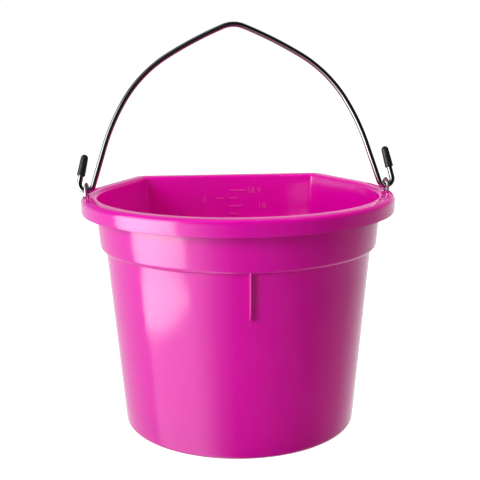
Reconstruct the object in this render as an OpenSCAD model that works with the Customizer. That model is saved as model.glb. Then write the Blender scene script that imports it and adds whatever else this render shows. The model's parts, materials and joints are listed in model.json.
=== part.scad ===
// Flat-backed feed bucket: a moulded D-shaped tub with a wire bail that swings in two steel
// loops set through the rim. Millimetres, +Z up. The origin is on the ground, below the middle
// of the rim's outline; +X is to the right and -Y is the curved front.

/* [Tub] */
// Width of the rim across the curved sides
rim_w = 370; // [300:1:450]
// Depth of the rim from the curved front to the flat back
rim_depth = 353; // [330:1:430]
// Height from the ground to the top of the rim
tub_h = 279; // [220:1:340]
// Angle that each straight side makes with the front-to-back line
side_angle = 26; // [18:1:32]
// Slope of the walls from upright
draft = 4.9; // [2:0.1:7]
// Thickness of the walls
wall_t = 3; // [2:0.1:5]
// Thickness of the floor
floor_t = 3.6; // [2.4:0.1:6]
// Radius of the outer edge between wall and floor
base_round = 7; // [5.5:0.5:12]
// Radius of the wall's two outer back corners
corner_round = 7; // [3:0.5:9]

/* [Foot ring] */
// Width of the ring that the tub stands on, inside the rounded edge
foot_w = 5; // [3:0.5:20]
// Height that the floor is raised inside the ring
foot_h = 2.5; // [1:0.1:5]

/* [Collar] */
// Height of the collar below the rim's skirt
collar_h = 43.5; // [20:0.5:80]
// How far the collar stands out from the wall
collar_step = 6.3; // [5.2:0.1:9]

/* [Rim] */
// How far the skirt stands out from the top of the collar
rim_reach = 17.2; // [13:0.1:24]
// Height of the skirt
skirt_h = 18.5; // [17:0.5:30]
// Thickness of the skirt
skirt_t = 3; // [2:0.1:4]
// Thickness of the flange on top
flange_t = 3.6; // [3:0.1:6]
// Radius of the rim's outer top edge
rim_round = 5.5; // [2:0.1:7]
// Radius of the rim's inner top edge
lip_round = 4; // [1:0.1:6]
// Radius of the rim's two back corners
rim_corner_round = 13; // [6:0.5:20]

/* [Front rib] */
// Width of the rib on the front of the wall
rib_w = 2.4; // [1.5:0.1:6]
// Length of the rib below the collar
rib_len = 51; // [20:1:90]
// How far the rib stands out from the wall
rib_reach = 5.2; // [2:0.1:6]

/* [Bail] */
// Diameter of the bail's wire
wire_d = 6.5; // [4.5:0.1:8]
// Gap between the rim and the bail's wire above it
rim_gap = 1.75; // [1.75:0.05:5]
// Distance from the rim's widest point in to the middle of each hook
hinge_inset = 6.5; // [5:0.1:9]
// Radius of the hook's bend, to the middle of the wire
hook_r = 8.2; // [8:0.1:14]
// Lean of the bail towards the back at rest
bail_lean = 15; // [0:1:60]
// Angle between each leg and the bail's middle line
leg_angle = 17; // [8:0.5:25]
// Length of each straight leg above the hook
leg_len = 47; // [20:1:90]
// Radius of the bend above each leg
hip_r = 260; // [120:2:400]
// Turn of the bend above each leg
hip_turn = 13; // [5:0.5:20]
// Radius of the tighter bend at each shoulder
shoulder_r = 160; // [80:5:200]
// Turn of the tighter bend at each shoulder
shoulder_turn = 28; // [15:0.5:34]
// Slope from level beside the bail's peak
peak_slope = 23; // [5:0.5:28]
// Radius of the peak that hangs on a hook
peak_r = 32; // [12:1:60]

/* [Hook tips] */
// Inward lean of each straight tip past its hook
tip_angle = 12.3; // [0:0.1:16]
// Straight wire showing between the left hook and its cap
tip_gap_left = 8; // [2:0.5:20]
// Straight wire showing between the right hook and its cap
tip_gap_right = 12.5; // [2:0.5:20]
// Length of each cap
cap_len = 26; // [16:0.5:40]
// Wall of each cap
cap_wall = 1.75; // [1:0.05:1.8]
// Thickness of each cap's closed end
cap_end = 3.2; // [2.4:0.1:5]
// Width of the chamfer round each cap's closed end
cap_chamfer = 2.2; // [0.5:0.1:2.4]

/* [Rim loops] */
// Diameter of each loop's wire
loop_wire_d = 3.5; // [2.5:0.1:5]
// Gap on each side of the bail's wire inside a loop
loop_gap = 2.5; // [1:0.1:5]
// Height of each loop's straight legs above the rim
loop_leg = 5.7; // [4:0.1:12]
// Turn of each loop about its upright axis
loop_turn = 5; // [0:1:10]
// Clearance round each of the loop's legs in the boss
loop_fit = 0.03; // [0:0.01:0.2]
// Depth of the boss under a loop, from the rim's top
boss_h = 12; // [8:0.5:12]
// Length of the boss along the rim
boss_len = 30; // [26:1:50]
// Radius of the bend under the boss, to the middle of the wire
clinch_r = 2.4; // [2:0.1:3]
// Straight length of each leg's clinched end past the bend
clinch_len = 2; // [1:0.5:10]
// Depth of the pocket round each loop
pocket_depth = 2.2; // [0.5:0.1:2.8]
// Width of the pocket
pocket_w = 7.5; // [5:0.1:8]
// Angle that the pocket spans along the rim
pocket_span = 34; // [20:1:50]

/* [Hidden] */
$fn = 96;
lap = 0.5;
corner_steps = 5;
side_steps = 5;
front_steps = 32;
bend_gap = 0.15;
sleeve_len = 0.7;
sleeve_over = 0.04;

// Plan. Every wall keeps its own distance from the rim's outline, so one upright cross-section
// serves the curved front, the straight sides and the flat back. It is drawn with x as the
// distance from the middle of the front's curve, and y as the height.
rim_r = rim_w / 2;
curve_y = rim_r - rim_depth / 2;
back_y = rim_depth - rim_r;
side_len = (back_y - rim_r * sin(side_angle)) / cos(side_angle);
back_half = rim_r * cos(side_angle) - side_len * sin(side_angle);
mitre_angle = (side_angle + 90) / 2;
corner_half = (90 - side_angle) / 2;

// Cross-section
slope = tan(draft);
collar_z = tub_h - skirt_h - collar_h;
wall_base_r = rim_r - rim_reach - collar_step - (tub_h - skirt_h) * slope;
function wall_r(z) = wall_base_r + z * slope;
function collar_r(z) = wall_r(z) + collar_step;
ledge_z = collar_z + wall_t;
floor_top = foot_h + floor_t;
flange_z = tub_h - flange_t;

// Hinge of the bail and the loops
hinge_x = rim_r - hinge_inset;
hinge_z = tub_h + rim_gap + wire_d / 2;
loop_r = (wire_d + loop_wire_d) / 2 + loop_gap;
clinch_z = tub_h - boss_h;

// Bail's middle line in its own plane, as [distance out, height above the hinge]. Slopes are
// measured from level, and grow from the peak down to the leg.
leg_slope = 90 - leg_angle;
shoulder_foot_slope = leg_slope - hip_turn;
shoulder_top_slope = shoulder_foot_slope - shoulder_turn;
function arc_step(from, to) = [sin(to) - sin(from), cos(to) - cos(from)];
leg_foot = [hinge_x - hook_r * cos(leg_angle), hook_r * (1 - sin(leg_angle))];
leg_top = leg_foot + leg_len * [-sin(leg_angle), cos(leg_angle)];
hip_top = leg_top - hip_r * arc_step(shoulder_foot_slope, leg_slope);
shoulder_top = hip_top - shoulder_r * arc_step(shoulder_top_slope, shoulder_foot_slope);
brow_r = (shoulder_top[0] - peak_r * sin(peak_slope)) / arc_step(peak_slope, shoulder_top_slope)[0];
brow_top = shoulder_top - brow_r * arc_step(peak_slope, shoulder_top_slope);
tip_foot = [hinge_x + hook_r * cos(tip_angle), hook_r * (1 + sin(tip_angle))];
tip_in_cap = cap_len - cap_end;
cap_r = wire_d / 2 + cap_wall;

// ---- tub ----

function toward(angle) = [cos(angle), sin(angle)];

// Points round a corner, from one face's outward direction to the other's. The corner is sharp
// at its point, and r is the radius of its rounding.
function rounded(corner, r, from, to, steps) =
    let (middle = corner - r / cos((to - from) / 2) * toward((from + to) / 2))
    [for (i = [0:steps]) middle + r * toward(from + i * (to - from) / steps)];

// Plan of a wall at distance r from the middle of the front's curve, anticlockwise from the
// left end of the curve, with its back corners rounded
function plan(r, corner_r) =
    let (corner = [back_half, back_y] - (rim_r - r) / cos(corner_half) * toward(mitre_angle),
         right = rounded(corner, corner_r, side_angle, 90, corner_steps))
    concat([for (i = [0:side_steps - 1]) r * toward(180 - side_angle * (1 - i / side_steps))],
           [for (i = [0:front_steps - 1]) r * toward(180 + 180 * i / front_steps)],
           [for (i = [0:side_steps]) r * toward(side_angle * i / side_steps)],
           right,
           [for (i = [0:corner_steps]) [-right[corner_steps - i][0], right[corner_steps - i][1]]]);

function lifted(points, z) = [for (p = points) [p[0], p[1], z]];

// Rings of points up the outside, over the rim and down the inside, as [distance, height]
foot_r = wall_r(0) - base_round - foot_w;
inner_corner = corner_round - wall_t;
rim_inner_corner = rim_corner_round - skirt_t;
outside = concat(
    [[foot_r, foot_h], [foot_r, 0]],
    rounded([wall_r(0), 0], base_round, -90, -draft, 4),
    [[wall_r(collar_z), collar_z]],
    rounded([collar_r(collar_z), collar_z], collar_step, -90, -draft, 3),
    [[collar_r(flange_z), flange_z]]);
rim_inside = [[rim_r - skirt_t, flange_z], [rim_r - skirt_t, tub_h - skirt_h]];
rim_outside = concat(
    [[rim_r, tub_h - skirt_h]],
    rounded([rim_r, tub_h], rim_round, 0, 90, 4));
inside = concat(
    rounded([collar_r(tub_h) - wall_t, tub_h], lip_round, 90, 180 - draft, 4),
    rounded([collar_r(ledge_z) - wall_t, ledge_z], collar_step - wall_t, -draft, -90, 3),
    [[wall_r(ledge_z) - wall_t, ledge_z]],
    rounded([wall_r(floor_top) - wall_t, floor_top], base_round - wall_t, -draft, -90, 3));
rings = concat(
    [for (p = outside) lifted(plan(p[0], corner_round), p[1])],
    [for (p = rim_inside) lifted(plan(p[0], rim_inner_corner), p[1])],
    [for (p = rim_outside) lifted(plan(p[0], rim_corner_round), p[1])],
    [for (p = inside) lifted(plan(p[0], inner_corner), p[1])]);

module shell() {
    count = len(rings[0]);
    last = (len(rings) - 1) * count;
    polyhedron([for (ring = rings) for (p = ring) p],
        concat([[for (i = [0:count - 1]) i]],
            [for (j = [0:len(rings) - 2]) for (i = [0:count - 1])
                for (t = [0:1]) let (next = (i + 1) % count, a = j * count, b = a + count)
                    t == 0 ? [a + i, b + i, b + next] : [a + i, b + next, a + next]],
            [[for (i = [0:count - 1]) last + count - 1 - i]]));
}

module both_sides() {
    children();
    mirror([1, 0, 0]) children();
}

module rib() {
    foot_z = collar_z - rib_len;
    translate([rib_w / 2, 0, 0]) rotate([90, 0, -90]) linear_extrude(rib_w)
        polygon([[wall_r(foot_z) - wall_t / 2, foot_z], [wall_r(foot_z) + rib_reach, foot_z],
                 [wall_r(ledge_z) + rib_reach, ledge_z], [wall_r(ledge_z) - wall_t / 2, ledge_z]]);
}

module boss() {
    translate([0, boss_len / 2, 0]) rotate([90, 0, 0]) linear_extrude(boss_len)
        polygon([[collar_r(clinch_z) - wall_t / 2, clinch_z], [rim_r - skirt_t / 2, clinch_z],
                 [rim_r - skirt_t / 2, tub_h - flange_t / 2],
                 [collar_r(clinch_z) - wall_t / 2, tub_h - flange_t / 2]]);
}

module pocket() {
    rotate(-pocket_span / 2) rotate_extrude(angle = pocket_span, $fn = 240)
        translate([hinge_x - pocket_w / 2, tub_h - pocket_depth])
            square([pocket_w, pocket_depth + lap]);
    for (end = [-1, 1]) rotate(end * pocket_span / 2)
        translate([hinge_x, 0, tub_h - pocket_depth])
            cylinder(d = pocket_w, h = pocket_depth + lap);
}

module leg_holes() {
    translate([hinge_x, 0, clinch_z - lap]) rotate(loop_turn) for (end = [-1, 1])
        translate([0, end * loop_r, 0]) cylinder(d = loop_wire_d + 2 * loop_fit, h = boss_h);
}

module tub() {
    color("deeppink") translate([0, curve_y, 0]) difference() {
        union() {
            shell();
            rib();
            both_sides() boss();
        }
        both_sides() pocket();
        both_sides() leg_holes();
    }
}

// ---- rim loops ----

module arc_rod(r, d, span) {
    rotate_extrude(angle = span) translate([r, 0]) circle(d = d, $fn = 48);
}

module rim_loop() {
    color("silver") translate([hinge_x, curve_y, 0]) rotate(loop_turn) {
        translate([0, 0, tub_h + loop_leg]) rotate([90, 0, 90]) arc_rod(loop_r, loop_wire_d, 180);
        for (end = [0, 180]) rotate(end) {
            translate([0, loop_r, clinch_z]) cylinder(d = loop_wire_d, h = boss_h + loop_leg);
            translate([0, loop_r + clinch_r, clinch_z]) rotate([90, 0, 90]) rotate(180)
                arc_rod(clinch_r, loop_wire_d, 90);
            translate([0, loop_r + clinch_r, clinch_z - clinch_r]) rotate([-90, 0, 0])
                cylinder(d = loop_wire_d, h = clinch_len);
        }
    }
}

module loop_right() {
    rim_loop();
}

module loop_left() {
    mirror([1, 0, 0]) rim_loop();
}

// ---- bail ----

// Places what is drawn in the bail's plane, x out and y up from the hinge axis
module bail_plane() {
    translate([0, curve_y, hinge_z]) rotate([90 - bail_lean, 0, 0]) children();
}

// Arc of the bail's wire that ends at a point and bends down from one slope to another. It stops
// a little short of both ends, where the sleeves take over.
module bail_arc(end, r, from, to) {
    gap = bend_gap / r * 180 / PI;
    translate(end - r * [sin(to), cos(to)]) rotate(90 - to + gap)
        arc_rod(r, wire_d, to - from - 2 * gap);
}

module rod(from, angle, length, d) {
    translate(from) rotate([-90, 0, angle]) cylinder(d = d, h = length, $fn = 48);
}

// Joins two lengths of the bail's wire, a hair's breadth thicker than the wire
module sleeve(middle, angle) {
    translate(middle) rotate([-90, 0, angle])
        cylinder(d = wire_d + 2 * sleeve_over, h = sleeve_len, center = true, $fn = 48);
}

module half_bail(tip_gap) {
    bail_arc(shoulder_top, brow_r, peak_slope, shoulder_top_slope);
    bail_arc(hip_top, shoulder_r, shoulder_top_slope, shoulder_foot_slope);
    bail_arc(leg_top, hip_r, shoulder_foot_slope, leg_slope);
    rod(leg_foot + bend_gap * [-sin(leg_angle), cos(leg_angle)], leg_angle,
        leg_len - 2 * bend_gap, wire_d);
    hook_gap = bend_gap / hook_r * 180 / PI;
    translate([hinge_x, hook_r]) rotate(180 + leg_angle + hook_gap)
        arc_rod(hook_r, wire_d, 180 + tip_angle - leg_angle - 2 * hook_gap);
    rod(tip_foot + bend_gap * [-sin(tip_angle), cos(tip_angle)], tip_angle,
        tip_gap + tip_in_cap - bend_gap, wire_d);
    sleeve(brow_top, 90 - peak_slope);
    sleeve(shoulder_top, 90 - shoulder_top_slope);
    sleeve(hip_top, 90 - shoulder_foot_slope);
    sleeve(leg_top, leg_angle);
    sleeve(leg_foot, leg_angle);
    sleeve(tip_foot, tip_angle);
}

module bail() {
    color("lightsteelblue") bail_plane() {
        bail_arc(brow_top, peak_r, -peak_slope, peak_slope);
        half_bail(tip_gap_right);
        mirror([1, 0, 0]) half_bail(tip_gap_left);
    }
}

// ---- tip caps ----

module tip_cap(tip_gap) {
    color([0.1, 0.1, 0.11]) translate(tip_foot) rotate([-90, 0, tip_angle])
        translate([0, 0, tip_gap]) difference() {
            rotate_extrude() polygon([[0, 0], [cap_r, 0], [cap_r, cap_len - cap_chamfer],
                                      [cap_r - cap_chamfer, cap_len], [0, cap_len]]);
            translate([0, 0, -lap]) cylinder(d = wire_d, h = tip_in_cap + lap);
        }
}

module tip_cap_right() {
    bail_plane() tip_cap(tip_gap_right);
}

module tip_cap_left() {
    bail_plane() mirror([1, 0, 0]) tip_cap(tip_gap_left);
}

tub();
loop_left();
loop_right();
bail();
tip_cap_left();
tip_cap_right();
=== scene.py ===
"""Flat-backed feed bucket: a pink moulded tub with a scale inside, two steel loops on its rim,
and a wire bail with capped tips. Lengths in the settings are metres, and the frame is the CAD's.
"""

import json
import math

import bmesh
import bpy
import numpy as np
from bpy.props import FloatProperty, FloatVectorProperty, IntProperty, PointerProperty
from mathutils import Matrix, Vector


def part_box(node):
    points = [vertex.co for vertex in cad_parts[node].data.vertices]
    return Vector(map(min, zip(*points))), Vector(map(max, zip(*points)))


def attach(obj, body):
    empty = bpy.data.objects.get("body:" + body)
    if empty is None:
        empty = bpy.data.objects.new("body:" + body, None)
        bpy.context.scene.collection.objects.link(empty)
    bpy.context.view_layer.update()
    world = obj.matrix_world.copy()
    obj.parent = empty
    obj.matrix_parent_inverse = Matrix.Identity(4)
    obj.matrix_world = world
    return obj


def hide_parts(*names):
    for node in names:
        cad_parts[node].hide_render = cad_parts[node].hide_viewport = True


bl_info = {
    "name": "Flat-backed feed bucket",
    "version": (1, 0, 0),
    "blender": (4, 5, 0),
    "location": "View3D > Sidebar > Bucket",
    "description": "Builds a moulded stable bucket with a wire bail",
    "category": "Object",
}

MM = 0.001
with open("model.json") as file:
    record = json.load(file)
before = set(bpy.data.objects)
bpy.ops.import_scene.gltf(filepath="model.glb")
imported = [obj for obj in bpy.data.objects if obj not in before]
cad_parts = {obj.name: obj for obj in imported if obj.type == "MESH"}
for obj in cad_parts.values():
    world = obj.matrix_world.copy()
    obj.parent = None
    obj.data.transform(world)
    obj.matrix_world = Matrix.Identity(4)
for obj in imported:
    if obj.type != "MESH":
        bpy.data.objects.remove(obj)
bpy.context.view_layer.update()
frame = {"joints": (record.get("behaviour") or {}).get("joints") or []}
hinge = frame["joints"][0]["pos_m"]
rim_low, rim_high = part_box("tub")
# the rim's front is an arc of this radius, and its middle is at this y
RIM_RADIUS = rim_high.x
CURVE_Y = rim_low.y + RIM_RADIUS


# ---- settings ----


def length(name, default_mm, description):
    return FloatProperty(name=name, description=description, default=default_mm * MM, unit="LENGTH",
                         subtype="DISTANCE", min=0, precision=5)


def angle(name, degrees, description):
    return FloatProperty(name=name, description=description, default=math.radians(degrees),
                         subtype="ANGLE")


def linear(hex_colour):
    """An sRGB hex colour as linear red, green, blue and alpha."""
    parts = [int(hex_colour[i:i + 2], 16) / 255 for i in (1, 3, 5)]
    return (*[p / 12.92 if p <= 0.04045 else ((p + 0.055) / 1.055) ** 2.4 for p in parts], 1.0)


def tint(name, hex_colour, description):
    return FloatVectorProperty(name=name, description=description, default=linear(hex_colour),
                               size=4, subtype="COLOR", min=0, max=1)


class TubSettings(bpy.types.PropertyGroup):
    side_angle: angle("Side angle", 26, "Angle of each straight side from front to back")
    draft: angle("Draft", 4.9, "Slope of the walls from upright")
    wall: length("Wall", 3, "Thickness of the walls")
    floor: length("Floor", 3.6, "Thickness of the floor")
    base_round: length("Base rounding", 7, "Radius of the outer edge at the floor")
    corner_round: length("Corner rounding", 8, "Radius of the wall's outer back corners")
    foot: length("Foot", 5, "Width of the ring that the tub stands on")
    foot_height: length("Foot height", 2.5, "Height of the floor above the foot")
    collar: length("Collar", 43.5, "Height of the collar below the skirt")
    collar_step: length("Collar step", 6.3, "How far the collar stands out from the wall")
    rim_reach: length("Rim reach", 17.2, "How far the skirt stands out from the collar's top")
    skirt: length("Skirt", 18.5, "Height of the skirt")
    skirt_wall: length("Skirt wall", 3, "Thickness of the skirt")
    flange: length("Flange", 3.6, "Thickness of the rim's flat top")
    rim_round: length("Rim rounding", 5.5, "Radius of the rim's outer top edge")
    lip_round: length("Lip rounding", 4, "Radius of the rim's inner top edge")
    rim_corner: length("Rim corner", 13, "Radius of the rim's back corners")
    rib_width: length("Rib width", 2.4, "Width of the rib down the front")
    rib_length: length("Rib length", 51, "Length of the rib below the collar")
    rib_reach: length("Rib reach", 5.2, "How far the rib stands out from the wall")
    boss_height: length("Boss height", 12, "Depth of the boss under each loop")
    boss_length: length("Boss length", 30, "Length of the boss along the rim")
    pocket_depth: length("Pocket depth", 2.2, "Depth of the pocket round each loop")
    pocket_width: length("Pocket width", 7.5, "Width of the pocket")
    pocket_span: angle("Pocket span", 34, "Angle that the pocket spans along the rim")
    colour: tint("Colour", "#D40096", "Colour of the polyethylene")


class ScaleSettings(bpy.types.PropertyGroup):
    first: length("First mark", 259, "Height of the top mark")
    step: length("Step", 10.5, "Height between marks")
    marks: IntProperty(name="Marks", description="Number of marks", default=22, min=1)
    bar: length("Bar", 22, "Length of the longest mark")
    line: length("Line", 1.5, "Width of a mark's line")
    raised: length("Raised", 0.7, "How far the marks stand out of the wall")
    figure: length("Figure", 8.5, "Height of the numbers")
    # the marks' pink is paler than the tub's: painted lightness, as the marks are moulded in the
    # same pigment
    colour: tint("Colour", "#E0329F", "Colour of the marks' matt tops")


class WireSettings(bpy.types.PropertyGroup):
    bail_wire: length("Bail wire", 6.5, "Diameter of the bail's wire")
    lean: angle("Lean", 15, "Lean of the bail towards the back at rest")
    hook_radius: length("Hook radius", 8.2, "Radius of each hook's bend")
    leg_angle: angle("Leg angle", 17, "Angle of each leg from the middle line")
    leg_length: length("Leg length", 47, "Length of each straight leg")
    hip_radius: length("Hip radius", 260, "Radius of the bend above each leg")
    hip_turn: angle("Hip turn", 13, "Turn of the bend above each leg")
    shoulder_radius: length("Shoulder radius", 160, "Radius of each shoulder")
    shoulder_turn: angle("Shoulder turn", 28, "Turn of each shoulder")
    peak_slope: angle("Peak slope", 23, "Slope from level beside the peak")
    peak_radius: length("Peak radius", 32, "Radius of the peak")
    tip_angle: angle("Tip angle", 12.3, "Inward lean of each tip")
    gap_left: length("Left gap", 8, "Wire showing below the left cap")
    gap_right: length("Right gap", 12.5, "Wire showing below the right cap")
    cap_length: length("Cap length", 26, "Length of each cap")
    cap_wall: length("Cap wall", 1.75, "Wall of each cap")
    cap_end: length("Cap end", 3.2, "Thickness of a cap's closed end")
    loop_wire: length("Loop wire", 3.5, "Diameter of each loop's wire")
    loop_gap: length("Loop gap", 2.5, "Gap beside the bail's wire in a loop")
    loop_leg: length("Loop leg", 5.7, "Height of a loop's legs above the rim")
    loop_turn: angle("Loop turn", 5, "Turn of each loop about its upright axis")
    clinch_radius: length("Clinch radius", 2.4, "Radius of the bend under the boss")
    clinch_length: length("Clinch length", 2, "Length of each clinched end")
    bail_colour: tint("Bail colour", "#B9BDBB", "Colour of the zinc-plated wire")
    loop_colour: tint("Loop colour", "#D2D5D6", "Colour of the galvanised wire")
    cap_colour: tint("Cap colour", "#17181A", "Colour of the vinyl caps")


class StageSettings(bpy.types.PropertyGroup):
    lens: FloatProperty(name="Lens", description="Focal length of the camera in millimetres",
                        default=70.15, min=10)
    roll: angle("Roll", -0.426, "Roll of the camera")
    floor_colour: tint("Floor colour", "#DCDCDC", "Colour of the floor")


CAMERA_AT, CAMERA_AIM = (-0.0869, -1.0909, 0.4484), (0.00195, 0.0085, 0.22074)
FLOOR_RADIUS, FLOOR_DEPTH = 30, 0.01
FLOOR_GLOW = 0.95           # what the camera sees of the floor beyond its own colour
GENERAL_LIGHT, GENERAL_STRENGTH = (1, 0.9, 0.74, 1), 0.3
# what a shiny surface sees: degrees to the right of the front, and how bright the room is there
ROOM = ((-180, 1.0), (-96, 0.65), (-94, 1.4), (-48, 1.4), (-36, 0.95), (-24, 0.35), (-8, 0.05),
        (55, 0.03), (72, 0.06), (90, 0.2), (107, 0.33), (130, 0.75), (150, 1.0))
# the upward part of a ray's direction where the room starts and stops fading, and what is left
CEILING_FROM, CEILING_TO, CEILING_SHARE = -0.05, 0.3, 0.22
WHITE, COOL = (1, 1, 1), (0.93, 0.96, 1.2)
# each lamp's name, place, aim, width and height, power in watts, and colour
LAMPS = (("key", (-1.3, -1.0, 0.75), (0, 0, 0.2), (0.7, 0.9), 28, COOL),
         ("top", (0.1, -0.3, 1.9), (0, 0, 0.2), (1.2, 1.0), 4, WHITE),
         ("inside", (0.27, -0.04, 0.92), (-0.1, 0, 0.25), (0.35, 0.35), 3.8, WHITE),
         ("back", (0.7, 1.5, 0.8), (0, 0, 0.15), (1.0, 1.0), 17, WHITE))
SOFTBOX = ("softbox", (-0.539, -0.264, 0.37), (0.02, -0.12, 0.37), (0.5, 0.88), 2.1,
           (0.94, 1.0, 0.9))
SOFTBOX_SPREAD = math.radians(100)


# ---- making meshes and nodes ----


def add(tree, kind, links=(), **settings):
    """One node with its settings. A link is (input, value or output socket)."""
    made = tree.nodes.new(kind)
    for key, value in settings.items():
        setattr(made, key, value)
    for key, value in dict(links).items():
        socket = made.inputs[key]
        if isinstance(value, bpy.types.NodeSocket):
            tree.links.new(value, socket)
        else:
            socket.default_value = value
    return made


def new_tree(name, sockets):
    """A geometry tree with named inputs, and its group input and output nodes."""
    tree = bpy.data.node_groups.new(name, "GeometryNodeTree")
    tree.interface.new_socket("Geometry", in_out="INPUT", socket_type="NodeSocketGeometry")
    for socket, kind, default in sockets:
        made = tree.interface.new_socket(socket, in_out="INPUT", socket_type=kind)
        if default is not None:
            made.default_value = default
    tree.interface.new_socket("Geometry", in_out="OUTPUT", socket_type="NodeSocketGeometry")
    return tree, add(tree, "NodeGroupInput"), add(tree, "NodeGroupOutput")


def finish_tree(tree, given, shown, out):
    """Ends a tree in real geometry with its material set."""
    real = add(tree, "GeometryNodeRealizeInstances", {"Geometry": shown})
    painted = add(tree, "GeometryNodeSetMaterial",
                  {"Geometry": real.outputs[0], "Material": given.outputs["Material"]})
    tree.links.new(painted.outputs[0], out.inputs["Geometry"])


def linked(name, data):
    made = bpy.data.objects.new(name, data)
    bpy.context.scene.collection.objects.link(made)
    return made


def plain_mesh(piece):
    """The mesh that an object gives with its modifiers."""
    bpy.context.view_layer.update()
    return bpy.data.meshes.new_from_object(
        piece.evaluated_get(bpy.context.evaluated_depsgraph_get()))


def opened(mesh):
    """A mesh as a bmesh, to be edited."""
    work = bmesh.new()
    work.from_mesh(mesh)
    return work


def close_outwards(work, mesh):
    """Writes work to a mesh with its faces pointing outwards."""
    bmesh.ops.recalc_face_normals(work, faces=work.faces[:])
    work.to_mesh(mesh)
    work.free()


def run_tree(source, tree, values):
    """The plain mesh that a tree makes of an object, which is then removed."""
    modifier = source.modifiers.new(tree.name, "NODES")
    modifier.node_group = tree
    for item in tree.interface.items_tree:
        if item.in_out == "INPUT" and item.name in values:
            modifier[item.identifier] = values[item.name]
    made = plain_mesh(source)
    bpy.data.objects.remove(source)
    return made


def line_mesh(name, points, closed=False, **attributes):
    """A mesh of edges through points, with vectors or numbers for each point."""
    count = len(points)
    edges = [(i, i + 1) for i in range(count - 1)] + ([(count - 1, 0)] if closed else [])
    made = bpy.data.meshes.new(name)
    made.from_pydata([tuple(p) for p in points], edges, [])
    for key, values in attributes.items():
        vector = np.ndim(values) == 2
        layer = made.attributes.new(key, "FLOAT_VECTOR" if vector else "FLOAT", "POINT")
        layer.data.foreach_set("vector" if vector else "value",
                               np.asarray(values, np.float32).ravel())
    return made


def lathe(profile, steps=48):
    """A closed mesh turned about Z from [radius, height] points, whose ends are on the axis."""
    points, faces = [], []
    inner = profile[1:-1]
    for r, z in inner:
        for i in range(steps):
            a = 2 * math.pi * i / steps
            points.append((r * math.cos(a), r * math.sin(a), z))
    low, high = len(points), len(points) + 1
    points += [(0, 0, profile[0][1]), (0, 0, profile[-1][1])]
    for j in range(len(inner) - 1):
        for i in range(steps):
            n = (i + 1) % steps
            faces.append((j * steps + i, j * steps + n, (j + 1) * steps + n, (j + 1) * steps + i))
    top = (len(inner) - 1) * steps
    for i in range(steps):
        n = (i + 1) % steps
        faces += [(low, n, i), (high, top + i, top + n)]
    made = bpy.data.meshes.new("lathe")
    made.from_pydata(points, [], faces)
    return made


def arc(centre, radius, start, end, steps):
    """Points round a circle's arc in a plane, angles in radians."""
    return [(centre[0] + radius * math.cos(t), centre[1] + radius * math.sin(t))
            for t in np.linspace(start, end, steps + 1)]


def shade(mesh, degrees=32):
    """Smooth faces, with the edges sharper than an angle left crisp."""
    work = opened(mesh)
    for face in work.faces:
        face.smooth = True
    for edge in work.edges:
        edge.smooth = not edge.is_manifold or edge.calc_face_angle(0) < math.radians(degrees)
    work.to_mesh(mesh)
    work.free()


def cut(target, tool, operation):
    """Joins a tool's solid to a mesh object, or cuts it out, and removes the tool."""
    modifier = target.modifiers.new(operation, "BOOLEAN")
    modifier.operation, modifier.solver, modifier.object = operation, "EXACT", tool
    made = plain_mesh(target)
    target.modifiers.remove(modifier)
    target.data = made
    bpy.data.objects.remove(tool)


def settle(piece, body, slot, *nodes):
    """Puts a piece on its body and hides the CAD nodes that it stands for. The slot is not used."""
    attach(piece, body)
    if nodes:
        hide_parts(*nodes)


# ---- materials ----


def new_material(name):
    made = bpy.data.materials.new(name)
    made.use_nodes = True
    tree = made.node_tree
    tree.nodes.clear()
    out = add(tree, "ShaderNodeOutputMaterial")
    place = add(tree, "ShaderNodeTexCoord").outputs["Object"]
    return made, tree, out, place


def moulded_polyethylene(colour):
    """Injection-moulded HDPE: waxy gloss that varies a little from place to place, a faint
    orange peel from the polished mould, and soft clouds where the pigment is thinner."""
    made, tree, out, place = new_material("Moulded HDPE, pink")
    cloud = add(tree, "ShaderNodeTexNoise", {"Vector": place, "Scale": 14.0, "Detail": 2.0})
    deep = [c * 0.93 for c in colour[:3]] + [1]
    tone = add(tree, "ShaderNodeMix", {"Factor": cloud.outputs[0], "A": deep, "B": colour},
                   data_type="RGBA")
    film = add(tree, "ShaderNodeTexNoise", {"Vector": place, "Scale": 55.0, "Detail": 4.0})
    rough = add(tree, "ShaderNodeMapRange", {"Value": film.outputs[0], "From Min": 0.35,
                                             "From Max": 0.7, "To Min": 0.12, "To Max": 0.17})
    # orange peel about 1.4 mm across, a little coarser than the real one so that it shows
    peel = add(tree, "ShaderNodeTexNoise", {"Vector": place, "Scale": 700.0, "Detail": 1.0})
    sway = add(tree, "ShaderNodeTexNoise", {"Vector": place, "Scale": 30.0, "Detail": 0.0})
    high = add(tree, "ShaderNodeMath", {0: sway.outputs[0], 1: 0.00012}, operation="MULTIPLY")
    low = add(tree, "ShaderNodeMath", {0: peel.outputs[0], 1: 0.000004, 2: high.outputs[0]},
              operation="MULTIPLY_ADD")
    bump = add(tree, "ShaderNodeBump", {"Height": low.outputs[0], "Strength": 1.0,
                                        "Distance": 1.0})
    # the specular level is above plain HDPE's 0.5, for a brighter polish
    surface = add(tree, "ShaderNodeBsdfPrincipled", {
        "Base Color": tone.outputs["Result"], "Roughness": rough.outputs[0], "IOR": 1.54,
        "Specular IOR Level": 0.8, "Normal": bump.outputs[0]})
    tree.links.new(surface.outputs[0], out.inputs["Surface"])
    return made


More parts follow.
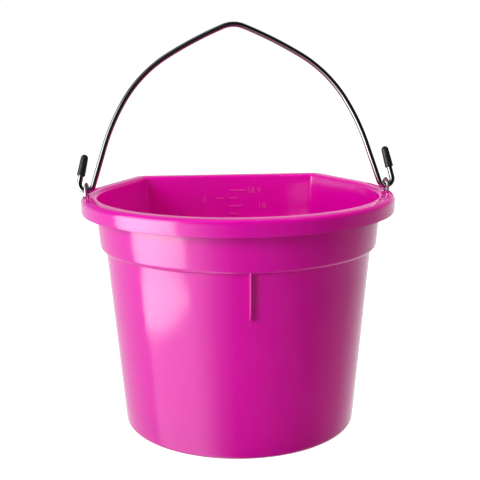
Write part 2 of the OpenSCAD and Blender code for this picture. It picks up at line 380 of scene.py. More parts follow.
def matt_polyethylene(colour):
    """The same HDPE where the mould is spark-eroded: a fine matt grain that scatters more light.
    Its pink is set paler than the tub's as painted lightness, so that raised marks look paler than
    the polished wall."""
    made, tree, out, place = new_material("Moulded HDPE, pink painted paler, matt")
    # the grain is about 0.4 mm here, coarser than the real one so that it shows
    grain = add(tree, "ShaderNodeTexNoise", {"Vector": place, "Scale": 2500.0, "Detail": 2.0})
    worn = add(tree, "ShaderNodeMapRange", {"Value": grain.outputs[0], "From Min": 0.3,
                                            "From Max": 0.7, "To Min": 0.42, "To Max": 0.6})
    bump = add(tree, "ShaderNodeBump", {"Height": grain.outputs[0], "Strength": 0.3,
                                        "Distance": 0.0001})
    surface = add(tree, "ShaderNodeBsdfPrincipled", {
        "Base Color": colour, "Roughness": worn.outputs[0], "IOR": 1.54,
        "Normal": bump.outputs[0]})
    tree.links.new(surface.outputs[0], out.inputs["Surface"])
    return made


def plated_wire(name, colour, roughness, spangle):
    """Drawn steel wire with a zinc skin: a clean metal shine broken by a fine grain, and by
    patches that are a little duller and darker."""
    made, tree, out, place = new_material(name)
    patch = add(tree, "ShaderNodeTexNoise", {"Vector": place, "Scale": spangle, "Detail": 5.0})
    rough = add(tree, "ShaderNodeMapRange", {"Value": patch.outputs[0], "From Min": 0.3,
                                             "From Max": 0.7, "To Min": roughness * 0.75,
                                             "To Max": roughness * 1.4})
    dull = [c * 0.78 for c in colour[:3]] + [1]
    tone = add(tree, "ShaderNodeMix", {"Factor": patch.outputs[0], "A": dull, "B": colour},
               data_type="RGBA")
    grain = add(tree, "ShaderNodeTexNoise", {"Vector": place, "Scale": 1600.0, "Detail": 2.0})
    bump = add(tree, "ShaderNodeBump", {"Height": grain.outputs[0], "Strength": 0.15,
                                        "Distance": 0.00005})
    surface = add(tree, "ShaderNodeBsdfPrincipled", {
        "Base Color": tone.outputs["Result"], "Metallic": 1.0, "Roughness": rough.outputs[0],
        "Normal": bump.outputs[0]})
    tree.links.new(surface.outputs[0], out.inputs["Surface"])
    return made


def dipped_vinyl(colour):
    """Dip-moulded PVC: near black with a soft, slightly uneven sheen from the cured dip."""
    made, tree, out, place = new_material("Dipped PVC, black")
    film = add(tree, "ShaderNodeTexNoise", {"Vector": place, "Scale": 260.0, "Detail": 3.0})
    rough = add(tree, "ShaderNodeMapRange", {"Value": film.outputs[0], "From Min": 0.3,
                                             "From Max": 0.7, "To Min": 0.28, "To Max": 0.46})
    bump = add(tree, "ShaderNodeBump", {"Height": film.outputs[0], "Strength": 0.4,
                                        "Distance": 0.0002})
    surface = add(tree, "ShaderNodeBsdfPrincipled", {
        "Base Color": colour, "Roughness": rough.outputs[0], "IOR": 1.53,
        "Normal": bump.outputs[0]})
    tree.links.new(surface.outputs[0], out.inputs["Surface"])
    return made


# ---- tub ----


class Tub:
    """The tub's plan and cross-section. A wall keeps its own distance from the rim's outline, so
    a distance and a corner radius give every ring of it."""

    def __init__(self, s):
        self.s = s
        self.top = rim_high.z
        self.rim = RIM_RADIUS
        self.back = rim_high.y - CURVE_Y
        side = (self.back - self.rim * math.sin(s.side_angle)) / math.cos(s.side_angle)
        self.back_half = self.rim * math.cos(s.side_angle) - side * math.sin(s.side_angle)
        self.mitre = (s.side_angle + math.pi / 2) / 2
        self.half = (math.pi / 2 - s.side_angle) / 2
        self.slope = math.tan(s.draft)
        self.base = self.rim - s.rim_reach - s.collar_step - (self.top - s.skirt) * self.slope
        self.collar_z = self.top - s.skirt - s.collar

    def wall(self, z):
        return self.base + z * self.slope

    def collar(self, z):
        return self.wall(z) + self.s.collar_step

    def plan(self):
        """Points round the plan as three vectors each: a place, what it gains with the wall's
        distance, and what it gains with the corner's radius."""
        def out(t):
            return np.array([math.cos(t), math.sin(t), 0.0])
        zero, side = np.zeros(3), self.s.side_angle
        mitre = out(self.mitre) / math.cos(self.half)
        corner = np.array([self.back_half, self.back, 0]) - self.rim * mitre
        front = [(zero, out(t), zero) for t in np.linspace(-math.pi / 2, side, 65)]
        bend = [(corner, mitre, out(t) - mitre) for t in np.linspace(side, math.pi / 2, 11)]
        mirrored = [tuple(v * [-1, 1, 1] for v in bend[-1])]

        def between(a, b, steps):
            return [tuple(p + (q - p) * i / steps for p, q in zip(a, b))
                    for i in range(1, steps)]
        half = front + between(front[-1], bend[0], 12) + bend
        back = between(bend[-1], mirrored[0], 14)
        left = [tuple(v * [-1, 1, 1] for v in p) for p in reversed(half[1:])]
        shift = np.array([0, CURVE_Y, 0])
        return [(a + shift, b, c) for a, b, c in half + back + left]

    def section(self):
        """[distance, height, corner radius] up the outside, over the rim and down the inside."""
        s, top = self.s, self.top
        rows = []

        def put(points, corner):
            rows.extend((r, z, corner) for r, z in points)

        def rounded(corner, r, start, end, steps):
            start, end = math.radians(start), math.radians(end)
            reach = r / math.cos((end - start) / 2)
            middle = (corner[0] - reach * math.cos((start + end) / 2),
                      corner[1] - reach * math.sin((start + end) / 2))
            return arc(middle, r, start, end, steps)

        def straight(a, b, steps):
            return [(a[0] + (b[0] - a[0]) * i / steps, a[1] + (b[1] - a[1]) * i / steps)
                    for i in range(1, steps)]

        def eased(corner, size_mm, *ways):
            """A corner cut off by a size, along the way it comes from and the way it goes."""
            return [(corner[0] + size_mm * MM * x, corner[1] + size_mm * MM * z) for x, z in ways]
        inwards, outwards, down, up = (-1, 0), (1, 0), (0, -1), (0, 1)
        ring = 4 * MM       # the flat beside the fill that closes the underside and the floor
        draft = math.degrees(s.draft)
        foot = self.wall(0) - s.base_round - s.foot
        base = rounded((self.wall(0), 0), s.base_round, -90, -draft, 9)
        ledge = rounded((self.collar(self.collar_z), self.collar_z), s.collar_step, -90, -draft, 9)
        flange = top - s.flange
        put([(foot - ring, s.foot_height), (foot, s.foot_height)]
            + eased((foot, 0), 0.4, up, outwards), s.corner_round)
        put(base, s.corner_round)
        put(straight(base[-1], (self.wall(self.collar_z), self.collar_z), 8), s.corner_round)
        # a small fillet where the wall meets the underside of the collar
        fillet, sliver = 0.8 * MM, 0.1 * MM
        put([(self.wall(self.collar_z - fillet), self.collar_z - fillet),
             (self.wall(self.collar_z) + sliver, self.collar_z - sliver)], s.corner_round)
        put(ledge, s.corner_round)
        put(straight(ledge[-1], (self.collar(flange), flange), 3), s.corner_round)
        behind, low = self.rim - s.skirt_wall, top - s.skirt
        put(eased((self.collar(flange), flange), 0.6, down, outwards)
            + eased((behind, flange), 0.8, inwards, down), s.corner_round)
        put(eased((behind, low), 0.5, up, outwards), s.rim_corner - s.skirt_wall)
        hem = 1 * MM        # the rounding of the skirt's lower outer edge
        put([(self.rim - 0.8 * hem, low), (self.rim - 0.2 * hem, low + 0.3 * hem),
             (self.rim, low + hem)], s.rim_corner)
        put(straight((self.rim, low + hem), (self.rim, top - s.rim_round), 3), s.rim_corner)
        put(rounded((self.rim, top), s.rim_round, 0, 90, 9), s.rim_corner)
        lip = rounded((self.collar(top) - s.wall, top), s.lip_round, 90, 180 - draft, 8)
        put(lip, s.corner_round - s.wall)
        inner = s.corner_round - s.wall
        ledge_z = self.collar_z + s.wall
        shelf = rounded((self.collar(ledge_z) - s.wall, ledge_z), s.collar_step - s.wall,
                        -draft, -90, 6)
        put(straight(lip[-1], shelf[0], 5), inner)
        put(shelf, inner)
        edge, edge_round = self.wall(ledge_z) - s.wall, 0.5 * MM
        put([(edge + edge_round, ledge_z - edge_round / 10), (edge, ledge_z - edge_round)], inner)
        floor_z = s.foot_height + s.floor
        sump = rounded((self.wall(floor_z) - s.wall, floor_z), s.base_round - s.wall,
                       -draft, -90, 6)
        put(straight((edge, ledge_z - edge_round), sump[0], 8), inner)
        put(sump, inner)
        put([(sump[-1][0] - ring, floor_z)], inner)
        return rows

    def tree(self):
        """Carries the cross-section round the plan: place + distance x spread + radius x turn."""
        tree, given, out = new_tree("Section carried round a plan", [
            ("Section", "NodeSocketObject", None), ("Material", "NodeSocketMaterial", None)])
        section = add(tree, "GeometryNodeObjectInfo", {"Object": given.outputs["Section"]})
        plan_count = add(tree, "GeometryNodeAttributeDomainSize",
                         {"Geometry": given.outputs["Geometry"]})
        count = add(tree, "GeometryNodeAttributeDomainSize",
                    {"Geometry": section.outputs["Geometry"]})
        around = add(tree, "ShaderNodeMath", {0: plan_count.outputs["Point Count"], 1: 1.0})
        sheet = add(tree, "GeometryNodeMeshGrid", {"Vertices X": around.outputs[0],
                                                   "Vertices Y": count.outputs["Point Count"]})
        index = add(tree, "GeometryNodeInputIndex")
        ring = add(tree, "ShaderNodeMath", {0: index.outputs[0], 1: count.outputs["Point Count"]},
                   operation="DIVIDE")
        ring = add(tree, "ShaderNodeMath", {0: ring.outputs[0]}, operation="FLOOR")
        ring = add(tree, "ShaderNodeMath", {0: ring.outputs[0],
                                            1: plan_count.outputs["Point Count"]},
                   operation="MODULO")
        row = add(tree, "ShaderNodeMath", {0: index.outputs[0], 1: count.outputs["Point Count"]},
                  operation="MODULO")
        picked = {}
        for key in ("spread", "turn"):
            named = add(tree, "GeometryNodeInputNamedAttribute", {"Name": key},
                        data_type="FLOAT_VECTOR")
            picked[key] = add(tree, "GeometryNodeSampleIndex", {
                "Geometry": given.outputs["Geometry"], "Value": named.outputs["Attribute"],
                "Index": ring.outputs[0]}, data_type="FLOAT_VECTOR").outputs["Value"]
        position = add(tree, "GeometryNodeInputPosition").outputs[0]
        place = add(tree, "GeometryNodeSampleIndex", {
            "Geometry": given.outputs["Geometry"], "Value": position,
            "Index": ring.outputs[0]}, data_type="FLOAT_VECTOR").outputs["Value"]
        point = add(tree, "GeometryNodeSampleIndex", {
            "Geometry": section.outputs["Geometry"], "Value": position,
            "Index": row.outputs[0]}, data_type="FLOAT_VECTOR").outputs["Value"]
        split = add(tree, "ShaderNodeSeparateXYZ", {"Vector": point})
        wide = add(tree, "ShaderNodeVectorMath", {0: picked["spread"], "Scale": split.outputs["X"]},
                   operation="SCALE")
        turned = add(tree, "ShaderNodeVectorMath", {0: picked["turn"], "Scale": split.outputs["Y"]},
                     operation="SCALE")
        lift = add(tree, "ShaderNodeCombineXYZ", {"Z": split.outputs["Z"]})
        total = place
        for part in (wide, turned, lift):
            total = add(tree, "ShaderNodeVectorMath", {0: total, 1: part.outputs[0]}).outputs[0]
        moved = add(tree, "GeometryNodeSetPosition",
                    {"Geometry": sheet.outputs["Mesh"], "Position": total})
        closed = add(tree, "GeometryNodeMergeByDistance",
                     {"Geometry": moved.outputs[0], "Distance": 1e-6})
        finish_tree(tree, given, closed.outputs[0], out)
        return tree


def block(name, low, high, round_off=0.0):
    """A box between two corners with its edges rounded off."""
    work = bmesh.new()
    bmesh.ops.create_cube(work, size=1)
    low, high = Vector(low), Vector(high)
    for v in work.verts:
        v.co = [low[i] + (high[i] - low[i]) * (v.co[i] + 0.5) for i in range(3)]
    if round_off:
        bmesh.ops.bevel(work, geom=work.edges[:], offset=round_off, segments=4, profile=0.5,
                        affect="EDGES")
    made = bpy.data.meshes.new(name)
    work.to_mesh(made)
    work.free()
    return linked(name, made)


class BUCKET_OT_tub(bpy.types.Operator):
    """Make the moulded tub, with its rib, bosses and pockets"""

    bl_idname = "bucket.tub"
    bl_label = "Tub"

    def execute(self, context):
        s = context.scene.bucket_tub
        form = Tub(s)
        plan = form.plan()
        source = linked("plan", line_mesh("plan", [p[0] for p in plan], True,
                                          spread=[p[1] for p in plan],
                                          turn=[p[2] for p in plan]))
        section = linked("section", line_mesh("section",
                                              [(r, c, z) for r, z, c in form.section()]))
        paint = moulded_polyethylene(s.colour)
        mesh = run_tree(source, form.tree(), {"Section": section, "Material": paint})
        bpy.data.objects.remove(section)
        work = opened(mesh)
        bmesh.ops.holes_fill(work, edges=[e for e in work.edges if e.is_boundary], sides=0)
        close_outwards(work, mesh)
        tub = linked("bucket_tub", mesh)

        # rib down the front, leaning with the wall: a block from y 0 to 1, whose two faces are
        # then set out from the wall and into it
        foot, head = form.collar_z - s.rib_length, form.collar_z + s.wall
        rib = block("rib", (-s.rib_width / 2, 0, foot), (s.rib_width / 2, 1, head))
        for v in rib.data.vertices:
            reach = s.rib_reach if v.co.y < 0.5 else -s.wall / 2
            v.co.y = CURVE_Y - form.wall(v.co.z) - reach
        work = opened(rib.data)
        outer = [e for e in work.edges
                 if all(v.co.y < CURVE_Y - form.wall(v.co.z) - 1 * MM for v in e.verts)]
        bmesh.ops.bevel(work, geom=outer, offset=0.9 * MM, segments=4, profile=0.5, affect="EDGES")
        close_outwards(work, rib.data)
        cut(tub, rib, "UNION")

        low = form.top - s.boss_height
        for side in (-1, 1):
            near = form.collar(low) - s.wall / 2
            far = form.rim - s.skirt_wall / 2
            boss = block("boss", (min(side * near, side * far), CURVE_Y - s.boss_length / 2, low),
                         (max(side * near, side * far), CURVE_Y + s.boss_length / 2,
                          form.top - s.flange / 2), 1.2 * MM)
            cut(tub, boss, "UNION")
            cut(tub, self.pocket(form, side), "DIFFERENCE")
        shade(tub.data)
        tub.data.materials.clear()
        tub.data.materials.append(paint)
        settle(tub, "bucket", "tub", "tub")
        return {"FINISHED"}

    def pocket(self, form, side):
        """The pocket in the rim's top: a round-ended slot that follows the curve."""
        s = form.s
        r, w, reach = abs(hinge_out()), s.pocket_width / 2, s.pocket_span / 2
        outline = arc((0, 0), r + w, -reach, reach, 20)
        end = (r * math.cos(reach), r * math.sin(reach))
        outline += arc(end, w, reach, reach + math.pi, 10)[1:-1]
        outline += arc((0, 0), r - w, reach, -reach, 20)
        end = (r * math.cos(-reach), r * math.sin(-reach))
        outline += arc(end, w, -reach + math.pi, -reach + 2 * math.pi, 10)[1:-1]
        work = bmesh.new()
        rings = []
        # the mould's draft: the pocket's floor is a little narrower than its mouth
        middle = [(r * math.cos(math.atan2(y, x)), r * math.sin(math.atan2(y, x)))
                  for x, y in outline]
        for z, share in ((-s.pocket_depth, 0.86), (-s.pocket_depth + 0.5 * MM, 0.93),
                         (0.4 * MM, 1.0), (3 * MM, 1.02)):
            rings.append([work.verts.new((side * (m[0] + (x - m[0]) * share),
                                          CURVE_Y + m[1] + (y - m[1]) * share, form.top + z))
                          for (x, y), m in zip(outline, middle)])
        count = len(outline)
        for a, b in zip(rings, rings[1:]):
            for i in range(count):
                work.faces.new((a[i], a[(i + 1) % count], b[(i + 1) % count], b[i]))
        work.faces.new(rings[0])
        work.faces.new(rings[-1])
        bmesh.ops.triangulate(work, faces=[f for f in work.faces if len(f.verts) > 4])
        made = bpy.data.meshes.new("pocket")
        close_outwards(work, made)
        return linked("pocket", made)


def hinge_out():
    """How far out the hooks hang, which the bail's CAD gives: its half width less the hook."""
    wires = bpy.context.scene.bucket_wires
    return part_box("bail")[1].x - wires.hook_radius - wires.bail_wire / 2


class BUCKET_OT_scale(bpy.types.Operator):
    """Raise the filling scale on the inside of the flat back"""

    bl_idname = "bucket.scale"
    bl_label = "Filling scale"
    # places across the back, from its middle line
    bars_from, left_bars, left_figures = 0.5 * MM, -13.5 * MM, -36 * MM
    near_figures, far_figures = 23 * MM, 38 * MM
    top_figure, first_number = "18.9", 19
    shares = (1.0, 0.5, 0.75, 0.5)              # the bars' lengths, in turn
    bare_from, bare_to = -3 * MM, 9 * MM        # no mark this close to the collar's step
    # a mark's depth, and how far its middle is out of the wall, as shares of its raised height
    depth, middle_out = 1.4, 0.3
    type_size = 1.35                            # font size for figures one unit high

    def execute(self, context):
        s, form = context.scene.bucket_scale, Tub(context.scene.bucket_tub)
        paint = matt_polyethylene(s.colour)
        proud = s.raised * self.middle_out

        def face(z):
            """The y of the marks' middle on the inner back wall at a height."""
            wide = form.collar(z) if z > form.collar_z + form.s.wall else form.wall(z)
            return CURVE_Y + form.back - (form.rim - (wide - form.s.wall)) - proud
        points, shares, figures = [], [], []
        number = self.first_number
        for i in range(s.marks):
            z = s.first - i * s.step
            clear = not self.bare_from < z - form.collar_z < self.bare_to
            if i % 2 == 0:
                if clear:
                    across = self.near_figures if i % 4 == 0 else self.far_figures
                    figures.append((str(number) if i else self.top_figure, across, z))
                number -= 1
            if not clear:
                continue
            share = self.shares[i % 4]
            points.append((self.bars_from + s.bar * share / 2, face(z), z))
            shares.append(share)
            if i % 4 == 1:
                points.append((self.left_bars, face(z), z))
                shares.append(share)
                figures.append((str((number + 3) // 4), self.left_figures, z))
        tree, given, out = new_tree("Bars of a scale", [
            ("Bar", "NodeSocketFloat", 0.022), ("Line", "NodeSocketFloat", 0.001),
            ("Raised", "NodeSocketFloat", 0.0005), ("Material", "NodeSocketMaterial", None)])
        size = add(tree, "ShaderNodeCombineXYZ", {"X": given.outputs["Bar"],
                                                  "Y": given.outputs["Raised"],
                                                  "Z": given.outputs["Line"]})
        bar = add(tree, "GeometryNodeMeshCube", {"Size": size.outputs[0]})
        share = add(tree, "GeometryNodeInputNamedAttribute", {"Name": "share"}, data_type="FLOAT")
        wide = add(tree, "ShaderNodeCombineXYZ", {"X": share.outputs["Attribute"], "Y": 1.0,
                                                  "Z": 1.0})
        bars = add(tree, "GeometryNodeInstanceOnPoints", {
            "Points": given.outputs["Geometry"], "Instance": bar.outputs["Mesh"],
            "Scale": wide.outputs[0]})
        finish_tree(tree, given, bars.outputs[0], out)
        mesh = run_tree(linked("marks", line_mesh("marks", points, share=shares)), tree,
                        {"Bar": s.bar, "Line": s.line, "Raised": s.raised * self.depth,
                         "Material": paint})
        work = opened(mesh)
        lean = Matrix.Rotation(-form.s.draft, 3, "X")
        for text, x, z in figures:
            words = bpy.data.curves.new("figure", "FONT")
            words.body, words.size = text, s.figure * self.type_size
            words.extrude, words.resolution_u = s.raised * self.depth / 2, 3
            holder = linked("figure", words)
            flat = plain_mesh(holder)
            bpy.data.objects.remove(holder)
            for v in flat.vertices:
                # stood up, facing the front, and leaned with the wall
                upright = lean @ Vector((v.co.x, -v.co.z, v.co.y - s.figure / 2))
                v.co = upright + Vector((x, face(z), z))
            work.from_mesh(flat)
            bpy.data.meshes.remove(flat)
        bmesh.ops.remove_doubles(work, verts=work.verts[:], dist=1e-6)
        close_outwards(work, mesh)
        shade(mesh, 30)
        mesh.materials.clear()
        mesh.materials.append(paint)
        for polygon in mesh.polygons:
            polygon.material_index = 0
        settle(linked("filling_scale", mesh), "bucket", "tub")
        return {"FINISHED"}


# ---- wires ----


def wire_tree():
    tree, given, out = new_tree("Wire along a path", [
        ("Radius", "NodeSocketFloat", 0.003), ("Sides", "NodeSocketInt", 28),
        ("Material", "NodeSocketMaterial", None)])
    path = add(tree, "GeometryNodeMeshToCurve", {"Mesh": given.outputs["Geometry"]})
    ring = add(tree, "GeometryNodeCurvePrimitiveCircle", {
        "Resolution": given.outputs["Sides"], "Radius": given.outputs["Radius"]})
    rod = add(tree, "GeometryNodeCurveToMesh", {"Curve": path.outputs[0],
                                                "Profile Curve": ring.outputs[0],
                                                "Fill Caps": True})
    finish_tree(tree, given, rod.outputs[0], out)
    return tree


def wire(name, points, radius, sides, paint):
    """A wire as a plain mesh along points."""
    tree = bpy.data.node_groups.get("Wire along a path") or wire_tree()
    mesh = run_tree(linked(name + "_path", line_mesh(name, points)), tree,
                    {"Radius": radius, "Sides": sides, "Material": paint})
    work = opened(mesh)
    bmesh.ops.remove_doubles(work, verts=work.verts[:], dist=1e-7)
    close_outwards(work, mesh)
    shade(mesh, 50)
    mesh.materials.clear()
    mesh.materials.append(paint)
    return linked(name, mesh)


def bail_side(w):
    """The bail's middle line on one side, [out, up from the hinge axis], from peak to tip foot."""
    out = hinge_out()
    leg = math.pi / 2 - w.leg_angle
    hip = leg - w.hip_turn
    shoulder = hip - w.shoulder_turn
    foot = np.array([out - w.hook_radius * math.cos(w.leg_angle),
                     w.hook_radius * (1 - math.sin(w.leg_angle))])
    knee = foot + w.leg_length * np.array([-math.sin(w.leg_angle), math.cos(w.leg_angle)])

    def climb(end, radius, low, high, steps):
        """Points up an arc whose lower end and slopes are known."""
        slopes = np.linspace(high, low, steps + 1)
        return [end + radius * np.array([math.sin(t) - math.sin(high),
                                         math.cos(t) - math.cos(high)]) for t in slopes]
    hips = climb(knee, w.hip_radius, hip, leg, 10)
    shoulders = climb(hips[-1], w.shoulder_radius, shoulder, hip, 16)
    peak_out = w.peak_radius * math.sin(w.peak_slope)
    brow_radius = (shoulders[-1][0] - peak_out) / (math.sin(shoulder) - math.sin(w.peak_slope))
    brows = climb(shoulders[-1], brow_radius, w.peak_slope, shoulder, 12)
    peaks = climb(brows[-1], w.peak_radius, 0, w.peak_slope, 8)
    line = [foot + (knee - foot) * i / 6 for i in range(7)]
    for part in (hips, shoulders, brows, peaks):
        line += part[1:]
    hook = [np.array(p) for p in arc((out, w.hook_radius), w.hook_radius,
                                     math.pi + w.leg_angle, 2 * math.pi + w.tip_angle, 34)]
    return list(reversed(line)) + hook[1:]


def stood(w, points):
    """Points of the bail's plane, [out, up], in the frame at rest."""
    up = Vector((0, math.sin(w.lean), math.cos(w.lean)))
    return [Vector(hinge) + Vector((p[0], 0, 0)) + up * p[1] for p in points]


def tip_foot(w):
    return np.array([hinge_out() + w.hook_radius * math.cos(w.tip_angle),
                     w.hook_radius * (1 + math.sin(w.tip_angle))])


class BUCKET_OT_bail(bpy.types.Operator):
    """Bend the wire bail with its two hooks"""

    bl_idname = "bucket.bail"
    bl_label = "Bail"

    def execute(self, context):
        w = context.scene.bucket_wires
        side = bail_side(w)
        along = np.array([-math.sin(w.tip_angle), math.cos(w.tip_angle)])

        def tip(gap):
            inside = w.cap_length - w.cap_end
            return [side[-1] + along * (gap + inside) * i / 4 for i in range(1, 5)]
        right = side + tip(w.gap_right)
        left = [p * [-1, 1] for p in reversed(side[1:] + tip(w.gap_left))]
        paint = plated_wire("Zinc-plated steel wire", w.bail_colour, 0.13, 90.0)
        bail = wire("bail_wire", stood(w, left + right), w.bail_wire / 2, 32, paint)
        settle(bail, "bail", "bail", "bail")
        return {"FINISHED"}


class BUCKET_OT_caps(bpy.types.Operator):
    """Dip the black caps on the bail's tips"""

    bl_idname = "bucket.caps"
    bl_label = "Tip caps"

    def execute(self, context):
        w = context.scene.bucket_wires
        paint = dipped_vinyl(w.cap_colour)
        bore, end, inside = w.bail_wire / 2, w.cap_length, w.cap_length - w.cap_end
        r = bore + w.cap_wall
        neck = r - 0.6 * MM
        # a rolled mouth, a body that narrows a little to its neck, and a domed end
        profile = [(0, inside), (bore, inside), (bore, 0.8 * MM), (bore + 0.4 * MM, 0.1 * MM),
                   (neck, 0), (r - 0.1 * MM, 0.5 * MM), (r, 1.4 * MM), (r - 0.2 * MM, 2.6 * MM),
                   (r - 0.2 * MM, 6 * MM), (r - 0.4 * MM, end * 0.6), (neck, end - 4.2 * MM)]
        rise, tip = 4.4 * MM, end - 0.2 * MM
        dome = [(x * neck / rise, z) for x, z in arc((0, tip - rise), rise, 0, math.pi / 2, 8)]
        profile += dome[1:-1] + [(0, tip)]
        for side, gap, name in ((-1, w.gap_left, "left"), (1, w.gap_right, "right")):
            mesh = lathe(profile)
            along = np.array([-math.sin(w.tip_angle), math.cos(w.tip_angle)])
            foot = tip_foot(w) + along * gap
            at = stood(w, [foot * [side, 1]])[0]
            to = (stood(w, [(foot + along) * [side, 1]])[0] - at).normalized()
            mesh.transform(Matrix.Translation(at) @ to.to_track_quat("Z", "Y").to_matrix().to_4x4())
            close_outwards(opened(mesh), mesh)
            shade(mesh, 50)
            mesh.materials.append(paint)
            cap = linked("cap_" + name, mesh)
            settle(cap, "bail", "caps", "tip_cap_" + name)
        return {"FINISHED"}


class BUCKET_OT_loops(bpy.types.Operator):
    """Set the galvanised loops through the rim"""

    bl_idname = "bucket.loops"
    bl_label = "Rim loops"

    def execute(self, context):
        w, s = context.scene.bucket_wires, context.scene.bucket_tub
        paint = plated_wire("Galvanised steel wire", w.loop_colour, 0.24, 320.0)
        top = rim_high.z
        r = (w.bail_wire + w.loop_wire) / 2 + w.loop_gap
        low = top - s.boss_height
        line = arc((0, top + w.loop_leg), r, 0, math.pi, 28)
        bend = arc((r + w.clinch_radius, low), w.clinch_radius, math.pi, 1.5 * math.pi, 8)
        tail = [(r + w.clinch_radius + w.clinch_length, low - w.clinch_radius)]
        leg = [(r, low + (top + w.loop_leg - low) * i / 4) for i in range(1, 4)]
        right = list(reversed(leg)) + bend + tail
        left = [(-x, z) for x, z in reversed(right)]
        line = left + list(reversed(line)) + right
        for side, name in ((-1, "left"), (1, "right")):
            turn = Matrix.Rotation(side * w.loop_turn, 4, "Z")
            at = Matrix.Translation((side * hinge_out(), CURVE_Y, 0)) @ turn
            points = [at @ Vector((0, y, z)) for y, z in line]
            loop = wire("rim_loop_" + name, points, w.loop_wire / 2, 24, paint)
            settle(loop, "bucket", "loops", "loop_" + name)
        return {"FINISHED"}


# ---- stage ----


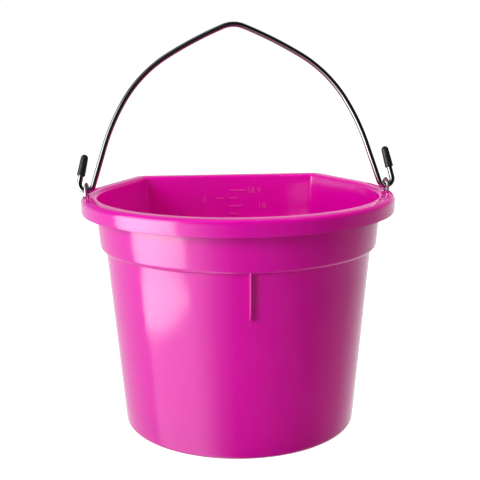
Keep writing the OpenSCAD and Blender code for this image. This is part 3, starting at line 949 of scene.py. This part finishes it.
class BUCKET_OT_stage(bpy.types.Operator):
    """Set the floor, the lamps and the camera"""

    bl_idname = "bucket.stage"
    bl_label = "Stage"

    def execute(self, context):
        s = context.scene.bucket_stage
        scene = context.scene
        scene.view_settings.view_transform = "Standard"
        self.floor(s)
        self.world(scene)
        self.lamps()
        data = bpy.data.cameras.new("camera")
        data.lens, data.sensor_width = s.lens, 36
        data.clip_start, data.clip_end = 0.05, 60
        camera = linked("camera", data)
        at = Vector(CAMERA_AT)
        look = (Vector(CAMERA_AIM) - at).normalized()
        right = look.cross(Vector((0, 0, 1))).normalized()
        up = right.cross(look)
        c, r = math.cos(s.roll), math.sin(s.roll)
        x, y = right * c + up * r, up * c - right * r
        camera.matrix_world = Matrix.Translation(at) @ Matrix((x, y, -look)).transposed().to_4x4()
        scene.camera = camera
        return {"FINISHED"}

    def plainly_seen(self, tree):
        """1 for rays from the camera, straight or through something clear, and 0 for others."""
        path = add(tree, "ShaderNodeLightPath")
        return add(tree, "ShaderNodeMath", {0: path.outputs["Is Camera Ray"],
                                            1: path.outputs["Is Transmission Ray"]},
                   operation="MAXIMUM").outputs[0]

    def floor(self, s):
        """A pale painted floor. The camera sees it as white, with a faint shadow of the bucket,
        and what shines doesn't see it."""
        made, tree, out, _ = new_material("Matt paint, white")
        paint = add(tree, "ShaderNodeBsdfDiffuse", {"Color": s.floor_colour, "Roughness": 0.0})
        glow = add(tree, "ShaderNodeEmission", {"Color": (*WHITE, 1), "Strength": FLOOR_GLOW})
        both = add(tree, "ShaderNodeAddShader", {0: paint.outputs[0], 1: glow.outputs[0]})
        mixed = add(tree, "ShaderNodeMixShader", {0: self.plainly_seen(tree),
                                                  1: paint.outputs[0], 2: both.outputs[0]})
        tree.links.new(mixed.outputs[0], out.inputs["Surface"])
        mesh = lathe([(0, -FLOOR_DEPTH), (FLOOR_RADIUS, -FLOOR_DEPTH), (FLOOR_RADIUS, 0), (0, 0)],
                     64)
        floor = linked("floor", mesh)
        mesh.materials.append(made)
        floor.visible_glossy = False

    def world(self, scene):
        """White to the camera, and a dim warm light all round. What shines sees a room: pale
        behind, brightest on the left, dark in front and to the right, and dimmer above."""
        world = bpy.data.worlds.new("studio")
        scene.world = world
        world.use_nodes = True
        # sampled as a lamp, the world would light glossy surfaces as if by the other rays
        world.cycles.sampling_method = "NONE"
        tree = world.node_tree
        tree.nodes.clear()
        way = add(tree, "ShaderNodeSeparateXYZ",
                  {"Vector": add(tree, "ShaderNodeTexCoord").outputs["Generated"]})
        front = add(tree, "ShaderNodeMath", {0: way.outputs["Y"], 1: -1.0}, operation="MULTIPLY")
        azimuth = add(tree, "ShaderNodeMath", {0: way.outputs["X"], 1: front.outputs[0]},
                      operation="ARCTAN2")
        turn = add(tree, "ShaderNodeMapRange", {"Value": azimuth.outputs[0],
                                                "From Min": -math.pi, "From Max": math.pi})
        ramp = add(tree, "ShaderNodeValToRGB", {"Fac": turn.outputs[0]})
        brightest = max(level for _, level in ROOM)
        cells = ramp.color_ramp.elements
        while len(cells) < len(ROOM):
            cells.new(0.5)
        for cell, (degrees, level) in zip(cells, ROOM):
            cell.position = degrees / 360 + 0.5
            cell.color = (*[level / brightest] * 3, 1)
        room = add(tree, "ShaderNodeMath", {0: ramp.outputs[0], 1: brightest},
                   operation="MULTIPLY")
        ceiling = add(tree, "ShaderNodeMapRange", {
            "Value": way.outputs["Z"], "From Min": CEILING_FROM, "From Max": CEILING_TO,
            "To Min": 1.0, "To Max": CEILING_SHARE})
        room = add(tree, "ShaderNodeMath", {0: room.outputs[0], 1: ceiling.outputs[0]},
                   operation="MULTIPLY")
        dim = add(tree, "ShaderNodeBackground", {"Color": GENERAL_LIGHT,
                                                 "Strength": GENERAL_STRENGTH})
        shiny = add(tree, "ShaderNodeBackground", {"Color": (*WHITE, 1),
                                                   "Strength": room.outputs[0]})
        white = add(tree, "ShaderNodeBackground", {"Color": (*WHITE, 1), "Strength": 1.0})
        path = add(tree, "ShaderNodeLightPath")
        mixed = add(tree, "ShaderNodeMixShader", {0: path.outputs["Is Glossy Ray"],
                                                  1: dim.outputs[0], 2: shiny.outputs[0]})
        mixed = add(tree, "ShaderNodeMixShader", {0: self.plainly_seen(tree),
                                                  1: mixed.outputs[0], 2: white.outputs[0]})
        out = add(tree, "ShaderNodeOutputWorld")
        tree.links.new(mixed.outputs[0], out.inputs["Surface"])

    def lamps(self):
        """Soft lamps that light the surfaces and aren't reflected, and a softbox that only is."""
        for settings in LAMPS:
            self.lamp(*settings).visible_glossy = False
        softbox = self.lamp(*SOFTBOX)
        softbox.visible_diffuse = False
        softbox.data.spread = SOFTBOX_SPREAD

    def lamp(self, name, at, aim, size, power, colour):
        """An area lamp that the camera doesn't see."""
        data = bpy.data.lights.new(name, "AREA")
        data.shape, data.size, data.size_y = "RECTANGLE", size[0], size[1]
        data.energy, data.color = power, colour
        made = linked(name, data)
        made.location = at
        made.rotation_euler = (Vector(aim) - Vector(at)).to_track_quat("-Z", "Y").to_euler()
        made.visible_camera = False
        return made


class BUCKET_PT_panel(bpy.types.Panel):
    """Buttons for the operators, with the settings of each below them"""

    bl_idname = "BUCKET_PT_panel"
    bl_label = "Feed bucket"
    bl_space_type = "VIEW_3D"
    bl_region_type = "UI"
    bl_category = "Bucket"

    def draw(self, context):
        for operator in OPERATORS:
            self.layout.operator(operator.bl_idname)
        for group in ("bucket_tub", "bucket_scale", "bucket_wires", "bucket_stage"):
            settings = getattr(context.scene, group)
            box = self.layout.box()
            for key in type(settings).__annotations__:
                box.prop(settings, key)


OPERATORS = (BUCKET_OT_tub, BUCKET_OT_scale, BUCKET_OT_loops, BUCKET_OT_bail, BUCKET_OT_caps,
             BUCKET_OT_stage)
GROUPS = {"bucket_tub": TubSettings, "bucket_scale": ScaleSettings, "bucket_wires": WireSettings,
          "bucket_stage": StageSettings}


def register():
    for item in (*GROUPS.values(), *OPERATORS, BUCKET_PT_panel):
        bpy.utils.register_class(item)
    for name, group in GROUPS.items():
        setattr(bpy.types.Scene, name, PointerProperty(type=group))


def unregister():
    for name in GROUPS:
        delattr(bpy.types.Scene, name)
    for item in reversed((*GROUPS.values(), *OPERATORS, BUCKET_PT_panel)):
        bpy.utils.unregister_class(item)


def main():
    register()
    for operator in OPERATORS:
        group, name = operator.bl_idname.split(".")
        getattr(getattr(bpy.ops, group), name)()


if __name__ == "__main__":
    main()
